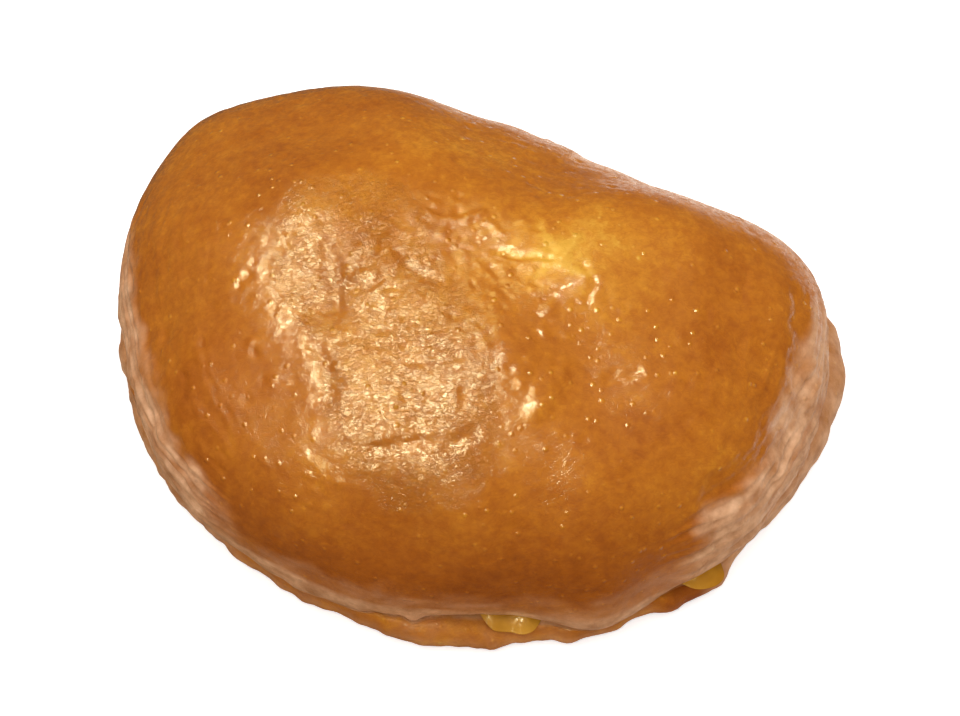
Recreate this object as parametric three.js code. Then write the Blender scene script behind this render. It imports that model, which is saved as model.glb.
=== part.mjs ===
// A custard cream bun: one sheet of soft dough folded over a custard filling and baked, as a half-moon.
// The fold is the nearly straight side, at +Y. The round side, at -Y and both ends, is where the two
// layers meet in a seam. The upper layer is the tall dome. The lower layer is a thin slab whose edge
// comes out from under the dome in a few places. The custard lies in the pocket between the layers and
// shows in the mouth of the seam. Millimetres, +Z up, the origin under the middle of the flat bottom.
import * as THREE from "three";
import { mergeVertices } from "three/addons/utils/BufferGeometryUtils.js";

// ---- Driving dimensions, in millimetres and degrees ------------------------------------------------
const HEIGHT = 44; // flat bottom to crown

// Distance from the crown to the widest line of the dome, every 20 degrees anticlockwise from +X.
const DOME_RADII = [
  59.5, 59.5, 53.5, 40.5, 38, 37.5, 41.5, 51, 58.5, 58, 54, 53, 50.5, 49, 47.5, 47, 51, 56.5,
];
const LIP_BULGE = { at: 318, half: 16, by: 3.2 }; // it swells out between the two places with custard
const WIDEST_HEIGHT = 16; // height of that widest line
const WIDEST_DROP = { at: 330, half: 80, by: 3 }; // it runs lower over the open seam
const WIDEST_ABOVE_LIP = 4; // it stays at least this far above the lip
const CROWN_ROUNDNESS = 2.25; // superellipse powers of the dome's section, across and up
const CROWN_FULLNESS = 2.15;

// The seam, which is open along the round side only.
const SEAM = { at: 285, half: 135, ramp: 30 }; // where the two layers are separate
const LIP_HEIGHT = 7.5; // underside of the dome's lip
const LIP_RISES = [
  { at: 12, half: 42, by: 6 }, // the seam climbs round the narrow end
  { at: 193, half: 42, by: 4 }, // and round the broad end
  { at: 318, half: 14, by: -1.5 }, // it dips at the bulge
];
const LIP_UNDERCUT = 1.4; // how far the lip turns in below the widest line
const SEAM_GROOVE = 1.8; // depth of the seam where it stays shut
const MOUTH = 0.9; // gap between the layers
const WIDE_MOUTHS = [
  { at: 303, half: 14, by: 1.9 }, // how much wider it is where the custard comes out
  { at: 338, half: 9, by: 1.9 },
];

// The lower layer, and the places where its edge shows beyond the dome.
const SLAB_TUCK = 1.5; // elsewhere its edge stays this far inside the dome's widest line
const LEDGES = [
  { at: 293, half: 25, ramp: 22, by: 3.9 },
  { at: 336, half: 11, ramp: 7, by: 1.9 },
  { at: 28, half: 42, ramp: 46, by: 8 }, // the rolled corner at the narrow end
  { at: 185, half: 55, by: 4.1 }, // the rolled corner at the broad end
];
const SLAB_ROUNDNESS = 0.8; // power of the edge's half-round section, under 1 for blunter
const FOOT_TUCK = 3.2; // the flat bottom ends this far inside the slab's edge
const FOLD_TUCK = 8; // and this far inside the dome along the folded side
const FOLD_ROUNDNESS = 1.3; // power of the way in from the one to the other

// The pocket between the layers, and the custard that fills it.
const POCKET = { at: 318, half: 72, ramp: 34 };
const POCKET_INNER = 7; // it ends this far from the crown's axis
const POCKET_TOP = 21; // heights of its roof and floor
const POCKET_FLOOR = 5;
const POCKET_ARCH = 1.5; // power of the roof's arch, larger for a lower way in
const POCKET_LEVEL = 0.5; // the floor is level from this share of the way in
const POCKET_END = 0.82; // roof and floor close up from this share on
const CLEARANCE = 0.4; // gap all round the custard
const CUSTARD_RECESS = 6; // how far inside the lip it stays where the mouth is empty
const CUSTARD_OOZE = 8.2; // how far it comes forward from there at a wide mouth
const OOZE_FROM = 0.5; // it comes forward where the mouth is this much wider,
const OOZE_FULL = 1.7; // and all the way where it is this much wider
const CUSTARD_TIP = 16; // degrees short of the pocket's ends that it stops
const CUSTARD_BLUNTNESS = 6; // power of its section's rounding, larger for blunter
const THINNEST = 0.05; // half the thickness of its nose and back edges

// Gentle unevenness of hand-shaped dough: waves of {length, heading, climb, phase, height}.
const WAVES = [
  { length: 47, heading: 20, climb: 25, phase: 0.46, height: 0.59 },
  { length: 34, heading: 105, climb: -15, phase: 2.38, height: 0.68 },
  { length: 26, heading: 160, climb: 40, phase: 4.35, height: 0.3 },
  { length: 19, heading: 65, climb: 10, phase: 1.86, height: 0.21 },
];
// Dents in the crust: a smooth hollow round a line from one point to another, seen from above.
const DENTS = [
  { from: [11, 3], to: [14, 7], reach: 11, depth: 0.5 }, // the dimple near the crown
  { from: [-20, 2], to: [-14, -15], reach: 7, depth: 0.7 }, // a long furrow towards the broad end
  { from: [-8, -2], to: [-5, -7], reach: 6, depth: 0.5 },
  { from: [41, 17], to: [46, 6], reach: 8, depth: 0.7 },
  { from: [-41, -24], to: [-36, -33], reach: 7, depth: 0.9 },
];
// Soft swellings of the top, seen from above.
const TOP_SWELLS = [
  { at: [17.5, -32.6], reach: 13.3, height: 1.9 },
  { at: [11.4, -13.5], reach: 17.4, height: 1.3 },
  { at: [15.9, 0.1], reach: 15.9, height: 0.4 },
  { at: [-31, -5.9], reach: 20, height: 1.3 },
];
// Swellings, and hollows where they are negative, of the flank, by direction.
const FLANK_SWELLS = [
  { at: 28, half: 20, by: 1.7 },
  { at: 64, half: 12, by: 1.0 },
  { at: 88, half: 11, by: -0.7 },
  { at: 160, half: 14, by: -0.4 },
  { at: 206, half: 16, by: -0.7 },
];
const FLANK_HEIGHT = 24; // where they are strongest
const FLANK_REACH = 19; // how far above and below they run out
// Folds that run from the lip up into the dome, each with its depth.
const SIDE_FOLDS = [
  { at: 326, half: 8, by: 1.2 },
  { at: 352, half: 9, by: 0.9 },
  { at: 232, half: 8, by: 0.8 },
  { at: 205, half: 7, by: 0.9 },
];
const SIDE_FOLD_HEIGHT = 11.5; // where the folds are deepest
const SIDE_FOLD_REACH = 16; // how far above and below they run out
const SLAB_RELIEF = 0.4; // the slab's edge takes this share of the relief

// Mesh fineness.
const SECTORS = 104;
const CUSTARD_STEPS = 9;
const RINGS = { dome: 24, curl: 4, pocket: 7, edge: 5, bottom: 2 };

// ---- Small helpers ---------------------------------------------------------------------------------
const radians = (degrees) => (degrees * Math.PI) / 180;
const mix = (a, b, share) => a + (b - a) * share;
const smooth = (x) => {
  const t = Math.min(1, Math.max(0, x));
  return t * t * (3 - 2 * t);
};
const steps = (count, make) =>
  Array.from({ length: count }, (_, i) => make((i + 1) / count));

const directions = Array.from({ length: SECTORS }, (_, i) => (2 * Math.PI * i) / SECTORS);

/** Degrees from a bearing to the direction theta, the short way round, positive anticlockwise. */
function bearingFrom(theta, bearing) {
  const turn = (theta * 180) / Math.PI - bearing;
  return turn - 360 * Math.round(turn / 360);
}
const degreesFrom = (theta, bearing) => Math.abs(bearingFrom(theta, bearing));

/** The point at a distance from the crown's axis and a height, in the direction theta. */
const around = (theta, radius, height) =>
  new THREE.Vector3(radius * Math.cos(theta), radius * Math.sin(theta), height);

/** 1 within a stretch of the rim, falling smoothly to 0 over its ramp. */
const stretch = (theta, { at, half, ramp = half }) =>
  smooth((half - degreesFrom(theta, at)) / ramp);

/** The sum of several stretches of the rim, each times its own size. */
const sumOf = (theta, list) =>
  list.reduce((sum, item) => sum + item.by * stretch(theta, item), 0);

/** A smooth closed curve through values spaced evenly round the circle, as a sum of harmonics. */
function harmonic(values) {
  const n = values.length;
  const terms = [];
  for (let k = 0; k <= n / 2; k++) {
    const weight = (k === 0 || k === n / 2 ? 1 : 2) / n;
    let a = 0;
    let b = 0;
    values.forEach((v, i) => {
      a += v * Math.cos((2 * Math.PI * k * i) / n);
      b += v * Math.sin((2 * Math.PI * k * i) / n);
    });
    terms.push([k, a * weight, b * weight]);
  }
  return (theta) =>
    terms.reduce(
      (sum, [k, a, b]) => sum + a * Math.cos(k * theta) + b * Math.sin(k * theta),
      0,
    );
}
const domeRadius = harmonic(DOME_RADII);

// ---- The rim: what changes from one direction to the next ------------------------------------------
function rim(theta) {
  const seam = stretch(theta, SEAM);
  const open = stretch(theta, POCKET);
  const dome = domeRadius(theta) + sumOf(theta, [LIP_BULGE]);
  const lipHeight = LIP_HEIGHT + sumOf(theta, LIP_RISES);
  const wide = sumOf(theta, WIDE_MOUTHS);
  const widest = Math.max(WIDEST_HEIGHT, lipHeight + WIDEST_ABOVE_LIP) - sumOf(theta, [WIDEST_DROP]);
  const lip = dome - LIP_UNDERCUT;
  return {
    seam,
    open,
    wide,
    dome,
    widest,
    lip,
    lipHeight,
    mouth: MOUTH + wide,
    depth: mix(SEAM_GROOVE, lip - POCKET_INNER, Math.sqrt(open)),
    slab: dome - SLAB_TUCK + sumOf(theta, LEDGES),
    fold: sumOf(theta, SIDE_FOLDS),
    flank: sumOf(theta, FLANK_SWELLS),
  };
}

/** The pocket's walls from the mouth to its inner end, as steps of {radius, roof, floor}. */
function pocketWalls(r) {
  return [0, ...steps(RINGS.pocket, (share) => share)].map((share) => {
    const arch = Math.pow(Math.max(0, Math.sin(Math.PI * share)), POCKET_ARCH);
    const roof = mix(r.lipHeight, POCKET_TOP, arch * r.open);
    const floor = mix(r.lipHeight - r.mouth, POCKET_FLOOR, smooth(share / POCKET_LEVEL) * r.open);
    const closing = smooth((share - POCKET_END) / (1 - POCKET_END));
    const middle = (roof + floor) / 2;
    return {
      radius: r.lip - r.depth * share,
      roof: mix(roof, middle, closing),
      floor: mix(floor, middle, closing),
    };
  });
}

/** The section from the crown over the dome, round the lip, into the pocket and out, round the slab's
 *  edge to the foot: a list of [distance from the axis, height, how much relief it takes]. */
function section(theta) {
  const r = rim(theta);
  const walls = pocketWalls(r);
  const dome = steps(RINGS.dome, (s) => {
    const a = (s * Math.PI) / 2;
    return [
      r.dome * Math.pow(Math.sin(a), 2 / CROWN_ROUNDNESS),
      r.widest + (HEIGHT - r.widest) * Math.pow(Math.max(0, Math.cos(a)), 2 / CROWN_FULLNESS),
      1,
    ];
  });
  const open = [
    ...steps(RINGS.curl, (s) => {
      const a = (s * Math.PI) / 2;
      return [
        r.dome - LIP_UNDERCUT * (1 - Math.cos(a)),
        mix(r.widest, r.lipHeight, Math.sin(a)),
        (1 - s) * (1 - s),
      ];
    }),
    ...walls.slice(1).map(({ radius, roof }) => [radius, roof, 0]),
    ...walls.slice(0, -1).reverse().map(({ radius, floor }) => [radius, floor, 0]),
    ...steps(RINGS.edge, (s) => {
      const a = s * Math.PI;
      const inner = s < 0.5 ? r.lip : r.slab - FOOT_TUCK;
      const top = r.lipHeight - r.mouth;
      const out = Math.pow(Math.sin(a), SLAB_ROUNDNESS);
      return [mix(inner, r.slab, out), (top * (1 + Math.cos(a))) / 2, SLAB_RELIEF * Math.pow(out, 4)];
    }),
  ];
  const sides = open.map(([radius, height, relief], i) => {
    const a = ((i + 1) / open.length) * (Math.PI / 2);
    return [
      mix(r.dome - FOLD_TUCK * Math.pow(1 - Math.cos(a), FOLD_ROUNDNESS), radius, r.seam),
      mix(r.widest * (1 - Math.sin(a)), height, r.seam),
      mix(Math.cos(a), relief, r.seam),
    ];
  });
  return [...dome, ...sides];
}

// ---- Relief ----------------------------------------------------------------------------------------
const waveVectors = WAVES.map(({ length, heading, climb, phase, height }) => ({
  along: new THREE.Vector3(
    Math.cos(radians(heading)) * Math.cos(radians(climb)),
    Math.sin(radians(heading)) * Math.cos(radians(climb)),
    Math.sin(radians(climb)),
  ).multiplyScalar((2 * Math.PI) / length),
  phase,
  height,
}));

/** How deep a dent is at a point: its depth times a bell over the distance from its line. */
function dentDepth({ from, to, reach, depth }, x, y) {
  const dx = to[0] - from[0];
  const dy = to[1] - from[1];
  const t = ((x - from[0]) * dx + (y - from[1]) * dy) / (dx * dx + dy * dy);
  const s = Math.min(1, Math.max(0, t));
  const away = Math.hypot(x - from[0] - s * dx, y - from[1] - s * dy);
  return depth * smooth(1 - away / reach);
}

/** How high a swelling of the top is at a point. */
const swellHeight = ({ at, reach, height }, x, y) =>
  height * smooth(1 - Math.hypot(x - at[0], y - at[1]) / reach);

/** Relief of the crust at a point of the smooth shape, along its normal. */
function relief(point) {
  const waves = waveVectors.reduce(
    (sum, w) => sum + w.height * Math.sin(point.dot(w.along) + w.phase),
    0,
  );
  const swells = TOP_SWELLS.reduce((sum, s) => sum + swellHeight(s, point.x, point.y), 0);
  return DENTS.reduce((sum, d) => sum - dentDepth(d, point.x, point.y), waves + swells);
}

/** A section's points in space, moved along its own normal by the relief, side folds and flank. */
function raisedSection(theta) {
  const flat = [[0, HEIGHT, 1], ...section(theta)];
  const { fold, flank } = rim(theta);
  return flat.slice(1).map(([radius, height, amount], i) => {
    const before = flat[i];
    const after = flat[Math.min(i + 2, flat.length - 1)];
    const along = new THREE.Vector2(after[0] - before[0], after[1] - before[1]).normalize();
    const level = smooth(1 - Math.abs(height - SIDE_FOLD_HEIGHT) / SIDE_FOLD_REACH);
    const side = smooth(1 - Math.abs(height - FLANK_HEIGHT) / FLANK_REACH);
    const raised = relief(around(theta, radius, height)) - fold * level + flank * side;
    const out = amount * raised;
    return around(theta, radius - along.y * out, Math.max(0, height + along.x * out));
  });
}

// ---- Closed surfaces -------------------------------------------------------------------------------
/** A closed surface through rings of equally many points, with one point at each end. */
function closedSurface(first, rings, last) {
  const count = rings[0].length;
  const points = [first, ...rings.flat(), last];
  const at = (ring, i) => 1 + ring * count + (i % count);
  const index = [];
  for (let i = 0; i < count; i++) {
    index.push(0, at(0, i), at(0, i + 1));
    for (let ring = 0; ring + 1 < rings.length; ring++) {
      const [a, b] = [at(ring, i), at(ring, i + 1)];
      const [c, d] = [at(ring + 1, i), at(ring + 1, i + 1)];
      index.push(a, c, d, a, d, b);
    }
    index.push(at(rings.length - 1, i + 1), at(rings.length - 1, i), points.length - 1);
  }
  const geometry = new THREE.BufferGeometry().setFromPoints(points);
  geometry.setIndex(index);
  return mergeVertices(geometry, 1e-4);
}

/** The dough: every section in turn round the crown's axis, closed by the flat bottom. */
function doughGeometry() {
  const columns = directions.map(raisedSection);
  columns.forEach((column) => {
    const foot = column[column.length - 1].setZ(0);
    column.push(...steps(RINGS.bottom, (s) => foot.clone().multiplyScalar(1 - s)).slice(0, -1));
  });
  const rings = columns[0].map((_, k) => columns.map((column) => column[k]));
  const crown = new THREE.Vector3(0, 0, HEIGHT + relief(new THREE.Vector3(0, 0, HEIGHT)));
  return closedSurface(crown, rings, new THREE.Vector3(0, 0, 0));
}

/** The custard's section in one direction: over its top from the nose inwards, and back below. It
 *  keeps clear of the pocket's walls, and its nose and back are rounded. */
function custardLoop(theta) {
  const r = rim(theta);
  const walls = pocketWalls(r);
  const ooze = smooth((r.wide - OOZE_FROM) / (OOZE_FULL - OOZE_FROM));
  const nose = r.lip - CUSTARD_RECESS + CUSTARD_OOZE * ooze;
  const back = r.lip - r.depth + 3 * CLEARANCE;
  const profile = [0, ...steps(CUSTARD_STEPS, (share) => share)].map((share) => {
    const radius = mix(nose, back, share);
    const place = Math.max(0, ((r.lip - radius) / r.depth) * RINGS.pocket);
    const step = Math.min(RINGS.pocket - 1, Math.floor(place));
    const roof = mix(walls[step].roof, walls[step + 1].roof, place - step);
    const floor = mix(walls[step].floor, walls[step + 1].floor, place - step);
    const rounding = Math.sqrt(1 - Math.pow(Math.abs(2 * share - 1), CUSTARD_BLUNTNESS));
    const half = Math.max(THINNEST, ((roof - floor) / 2 - CLEARANCE) * rounding);
    return { radius, middle: (roof + floor) / 2, half };
  });
  return [
    ...profile.map(({ radius, middle, half }) => around(theta, radius, middle + half)),
    ...profile.reverse().map(({ radius, middle, half }) => around(theta, radius, middle - half)),
  ];
}

/** The custard: its sections in every direction that the pocket reaches, closed at both tips. */
function custardGeometry() {
  const reach = POCKET.half - CUSTARD_TIP;
  const loops = directions
    .filter((theta) => degreesFrom(theta, POCKET.at) < reach)
    .sort((a, b) => bearingFrom(a, POCKET.at) - bearingFrom(b, POCKET.at))
    .map(custardLoop);
  const centre = (loop) =>
    loop.reduce((sum, p) => sum.add(p), new THREE.Vector3()).divideScalar(loop.length);
  return closedSurface(centre(loops[0]), loops, centre(loops[loops.length - 1]));
}

// ---- The model -------------------------------------------------------------------------------------
const crust = new THREE.MeshStandardMaterial({ color: 0xb86a22, roughness: 0.35, metalness: 0 });
const custardCream = new THREE.MeshStandardMaterial({ color: 0xe0b040, roughness: 0.3, metalness: 0 });

const dough = new THREE.Mesh(doughGeometry(), crust);
dough.name = "dough";
const custard = new THREE.Mesh(custardGeometry(), custardCream);
custard.name = "custard";

const bun = new THREE.Group();
bun.add(dough, custard);

// The origin goes under the middle of the bun's box.
const middle = new THREE.Box3().setFromObject(bun).getCenter(new THREE.Vector3());
dough.position.set(-middle.x, -middle.y, 0);
custard.position.copy(dough.position);

export default bun;
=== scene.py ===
"""A custard cream bun, glazed with egg and baked golden brown, lying on a pale floor.

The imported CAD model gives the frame. Two pieces stand for its two nodes: the folded dough, with its
crinkled and glazed crust, and the custard that shows in the mouth of the seam.
"""

import itertools
import math

import bpy
import numpy as np
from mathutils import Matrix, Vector


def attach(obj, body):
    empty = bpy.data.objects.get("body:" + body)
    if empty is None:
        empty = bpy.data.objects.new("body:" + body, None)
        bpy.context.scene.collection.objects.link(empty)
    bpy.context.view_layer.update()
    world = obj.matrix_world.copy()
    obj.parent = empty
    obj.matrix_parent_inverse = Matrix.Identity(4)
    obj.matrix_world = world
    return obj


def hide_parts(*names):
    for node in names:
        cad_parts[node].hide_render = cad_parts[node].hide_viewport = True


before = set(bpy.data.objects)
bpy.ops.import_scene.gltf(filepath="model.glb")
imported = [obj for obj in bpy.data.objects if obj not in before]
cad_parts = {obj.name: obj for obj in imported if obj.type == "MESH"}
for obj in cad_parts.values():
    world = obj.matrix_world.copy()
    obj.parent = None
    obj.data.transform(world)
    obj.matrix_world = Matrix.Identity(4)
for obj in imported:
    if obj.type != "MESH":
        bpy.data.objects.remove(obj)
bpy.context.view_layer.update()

MM = 0.001  # the shapes are worked out in millimetres and put into the meshes in metres

# ---- The bun's form, as the CAD model has it: millimetres and degrees about the crown's axis -------
HEIGHT = 44
CROWN_PLACE = (-0.74, 4.6, 0)  # where the crown's axis stands in the part's frame
DOME_RADII = (  # every 20 degrees anticlockwise from +X
    59.5, 59.5, 53.5, 40.5, 38, 37.5, 41.5, 51, 58.5, 58, 54, 53, 50.5, 49, 47.5, 47, 51, 56.5,
)
LIP_BULGE = dict(at=318, half=16, by=3.2)
WIDEST_HEIGHT = 16
WIDEST_DROP = [dict(at=330, half=80, by=3)]
WIDEST_ABOVE_LIP = 4
CROWN_ROUNDNESS = 2.25
CROWN_FULLNESS = 2.15

SEAM = dict(at=285, half=135, ramp=30)
LIP_HEIGHT = 7.5
LIP_RISES = [
    dict(at=12, half=42, by=6),
    dict(at=193, half=42, by=4),
    dict(at=318, half=14, by=-1.5),
]
LIP_UNDERCUT = 1.4
SEAM_GROOVE = 1.8
MOUTH = 0.9
WIDE_MOUTHS = [dict(at=303, half=14, by=1.9), dict(at=338, half=9, by=1.9)]

SLAB_TUCK = 1.5
LEDGES = [
    dict(at=293, half=25, ramp=22, by=3.9),
    dict(at=336, half=11, ramp=7, by=1.9),
    dict(at=28, half=42, ramp=46, by=8),
    dict(at=185, half=55, by=4.1),
]
SLAB_ROUNDNESS = 0.8
FOOT_TUCK = 3.2
FOLD_TUCK = 8
FOLD_ROUNDNESS = 1.3

POCKET = dict(at=318, half=72, ramp=34)
POCKET_INNER = 7
POCKET_TOP = 21
POCKET_FLOOR = 5
POCKET_ARCH = 1.5
POCKET_LEVEL = 0.5
POCKET_END = 0.82
CLEARANCE = 0.4
CUSTARD_RECESS = 6
CUSTARD_OOZE = 8.7
OOZE_FROM = 0.15
OOZE_FULL = 1.9
CUSTARD_TIP = 16
CUSTARD_NOSE = 4.2
CUSTARD_END = 0.12
CUSTARD_RAGGED = 0.5
CUSTARD_LUMPS = 0.16
THINNEST = 0.05
RIM_RADIUS = 50

WAVES = (  # length, heading, climb, phase, height
    (47, 20, 25, 0.46, 0.59),
    (34, 105, -15, 2.38, 0.68),
    (26, 160, 40, 4.35, 0.3),
    (19, 65, 10, 1.86, 0.21),
)
DENTS = (  # from, to, reach, depth
    ((11, 3), (14, 7), 11, 0.5),
    ((-20, 2), (-14, -15), 7, 0.7),
    ((-8, -2), (-5, -7), 6, 0.5),
    ((41, 17), (46, 6), 8, 0.7),
    ((-41, -24), (-36, -33), 7, 0.9),
)
SIDE_FOLDS = [
    dict(at=326, half=8, by=1.2),
    dict(at=352, half=9, by=0.9),
    dict(at=232, half=8, by=0.8),
    dict(at=205, half=7, by=0.9),
]
SIDE_FOLD_HEIGHT = 11.5
SIDE_FOLD_REACH = 16
FLANK_SWELLS = [
    dict(at=28, half=20, by=1.7),
    dict(at=64, half=12, by=1.0),
    dict(at=88, half=11, by=-0.7),
    dict(at=160, half=14, by=-0.4),
    dict(at=206, half=16, by=-0.7),
]
FLANK_HEIGHT = 24
FLANK_REACH = 19
TOP_SWELLS = (  # place, reach, height
    ((17.5, -32.6), 13.3, 1.9),
    ((11.4, -13.5), 17.4, 1.3),
    ((15.9, 0.1), 15.9, 0.4),
    ((-31, -5.9), 20, 1.3),
)
SLAB_RELIEF = 0.4

# ---- The seam's raggedness: millimetres ------------------------------------------------------------
LIP_RAGGED = dict(out=0.45, up=0.4)
SLAB_FRILL = 0.55
FLAP = dict(at=284, half=3)
FLAP_OUT = 1.2
FLAP_DOWN = 1.0
FLAP_CLOSES = 0.5  # the share of the mouth that it closes

# ---- Fineness of the meshes ------------------------------------------------------------------------
SECTORS = 440
RINGS = dict(dome=170, curl=9, pocket=8, edge=22, bottom=7)
CUSTARD_SECTORS = 260
CUSTARD_STEPS = 40
DIRECTIONS = math.tau * np.arange(SECTORS)[:, None] / SECTORS  # the dough's, as a column

# ---- Noises: size in millimetres, seed, and octaves ------------------------------------------------
NOISES = dict(
    lip_out=(5, 70, 2),
    lip_up=(5, 75, 2),
    slab_frill=(4.5, 80, 2),
    custard_nose=(3.5, 85, 2),
    custard_lumps=(2.6, 88, 2),
    furrow_width=(2.2, 21, 1),
    furrow_bend=(2.6, 23, 2),
    net_bend=(6, 40, 1),
    swelling=(7, 1, 2),
    small_swelling=(3.2, 5, 2),
    net_patches=(16, 9, 1),
    net=(7.5, 13, 1),
    baked_clouds=(20, 60, 2),
    baked_spots=(5, 63, 3),
    star_bend=(3, 66, 2),
    pale_border=(8, 69, 3),
    pale_spots=(5, 67, 3),
    slab_spots=(4, 68, 3),
    crinkled_spots=(5, 77, 2),
    crinkled_border=(5, 76, 2),
    glazed_border=(9, 78, 2),
    glazed_spots=(6, 79, 3),
    dull_border=(6, 82, 2),
)
NOISE_GAIN = 1.7  # brings the noise to about -1 to 1


# ---- Small helpers ---------------------------------------------------------------------------------
def smooth(x):
    """0 below 0, 1 above 1, and an S-curve between."""
    t = np.clip(x, 0, 1)
    return t * t * (3 - 2 * t)


def bell(x):
    """1 at 0, falling smoothly to 0 at 1 on either side."""
    return smooth(1 - np.abs(x))


def mix(a, b, share):
    """A share of the way from a to b."""
    return a + (b - a) * share


def steps(count):
    """The shares of a way that a count of equal steps ends at."""
    return np.arange(1, count + 1) / count


def bearing_from(theta, bearing):
    """Degrees from a bearing to the directions theta, the short way round."""
    turn = np.degrees(theta) - bearing
    return turn - 360 * np.round(turn / 360)


def stretch(theta, at, half, ramp=None):
    """1 within a stretch of the rim, falling smoothly to 0 over its ramp."""
    return smooth((half - np.abs(bearing_from(theta, at))) / (ramp or half))


def sum_of(theta, stretches):
    """The sum of several stretches of the rim, each times its own size."""
    return sum(s["by"] * stretch(theta, s["at"], s["half"], s.get("ramp")) for s in stretches)


def harmonic(theta, values):
    """A smooth closed curve through values spaced evenly round the circle, as a sum of harmonics."""
    waves = np.fft.rfft(values) / len(values)
    waves[1:] *= 2
    if len(values) % 2 == 0:
        waves[-1] /= 2
    turns = np.asarray(theta)[..., None] * np.arange(len(waves))
    return (waves.real * np.cos(turns) - waves.imag * np.sin(turns)).sum(-1)


def gradient_noise(points, seed):
    """Smooth noise, about -1 to 1: each whole-number corner of space has one of 256 random slopes, and
    a point takes the heights of its eight corners' slopes, blended by a smooth fade."""
    rng = np.random.default_rng(seed)
    shuffle = rng.permutation(256)
    slopes = rng.normal(size=(256, 3))
    slopes /= np.linalg.norm(slopes, axis=1, keepdims=True)
    cell = np.floor(points).astype(int)
    within = points - cell
    fade = within**3 * (within * (within * 6 - 15) + 10)
    total = np.zeros(points.shape[:-1])
    for corner in itertools.product((0, 1), repeat=3):
        c = (cell + corner) & 255
        pick = shuffle[(shuffle[(shuffle[c[..., 0]] + c[..., 1]) & 255] + c[..., 2]) & 255]
        share = np.where(np.array(corner, bool), fade, 1 - fade).prod(-1)
        total += share * (slopes[pick] * (within - corner)).sum(-1)
    return NOISE_GAIN * total


def mottle(points, size, seed, octaves=2):
    """Noise of a size in millimetres, with finer noise on it, each octave half as large and as high."""
    return sum(gradient_noise(points * 2**k / size, seed + k) / 2**k for k in range(octaves))


def bent(points, by, size, seed, octaves):
    """Points that noise moves a little, each way on its own."""
    return points + by * np.stack([mottle(points, size, seed + k, octaves) for k in range(3)], -1)


def around(theta, radius, height):
    """Points at a distance from the crown's axis and a height, in the directions theta."""
    return np.stack([radius * np.cos(theta), radius * np.sin(theta), height + 0 * radius], -1)


def heading_of(points):
    """The direction of each point from the crown's axis."""
    return np.arctan2(points[..., 1], points[..., 0])


def from_place(points, place):
    """Distance, seen from above, from points to a place."""
    return np.linalg.norm(points[..., :2] - place, axis=-1)


# ---- The sections of the bun -----------------------------------------------------------------------
def rim_noise(theta, name):
    """Noise round the rim."""
    return mottle(around(theta, RIM_RADIUS + 0 * theta, 0), *NOISES[name])


def rim(theta):
    """What changes from one direction to the next, each as an array over the directions theta."""
    seam = stretch(theta, **SEAM)
    flap = stretch(theta, **FLAP)
    dome = harmonic(theta, DOME_RADII) + sum_of(theta, [LIP_BULGE])
    ragged = seam * LIP_RAGGED["out"] * rim_noise(theta, "lip_out")
    lip = dome - LIP_UNDERCUT + ragged + FLAP_OUT * flap
    lip_height = LIP_HEIGHT + sum_of(theta, LIP_RISES)
    lifted = seam * LIP_RAGGED["up"] * rim_noise(theta, "lip_up")
    frill = seam * SLAB_FRILL * rim_noise(theta, "slab_frill")
    wide = sum_of(theta, WIDE_MOUTHS)
    opened = stretch(theta, **POCKET)
    return dict(
        dome=dome,
        lip=lip,
        lip_height=lip_height + lifted - FLAP_DOWN * flap,
        widest=np.maximum(WIDEST_HEIGHT, lip_height + WIDEST_ABOVE_LIP) - sum_of(theta, WIDEST_DROP),
        seam=seam,
        opened=opened,
        wide=wide,
        mouth=MOUTH + wide + np.minimum(0, lifted) - FLAP_CLOSES * MOUTH * flap,
        depth=mix(SEAM_GROOVE, lip - POCKET_INNER, np.sqrt(opened)),
        slab=dome - SLAB_TUCK + sum_of(theta, LEDGES) + frill,
        fold=sum_of(theta, SIDE_FOLDS),
        flank=sum_of(theta, FLANK_SWELLS),
    )


def pocket_walls(r, share):
    """Radius, roof and floor of the pocket at shares of the way from its mouth to its inner end: the
    roof is an arch, the floor falls to its own level, and the two close up at the end."""
    arch = np.maximum(0, np.sin(np.pi * share)) ** POCKET_ARCH
    roof = mix(r["lip_height"], POCKET_TOP, arch * r["opened"])
    floor = mix(r["lip_height"] - r["mouth"], POCKET_FLOOR, smooth(share / POCKET_LEVEL) * r["opened"])
    closing = smooth((share - POCKET_END) / (1 - POCKET_END))
    middle = (roof + floor) / 2
    return r["lip"] - r["depth"] * share, mix(roof, middle, closing), mix(floor, middle, closing)


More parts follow.
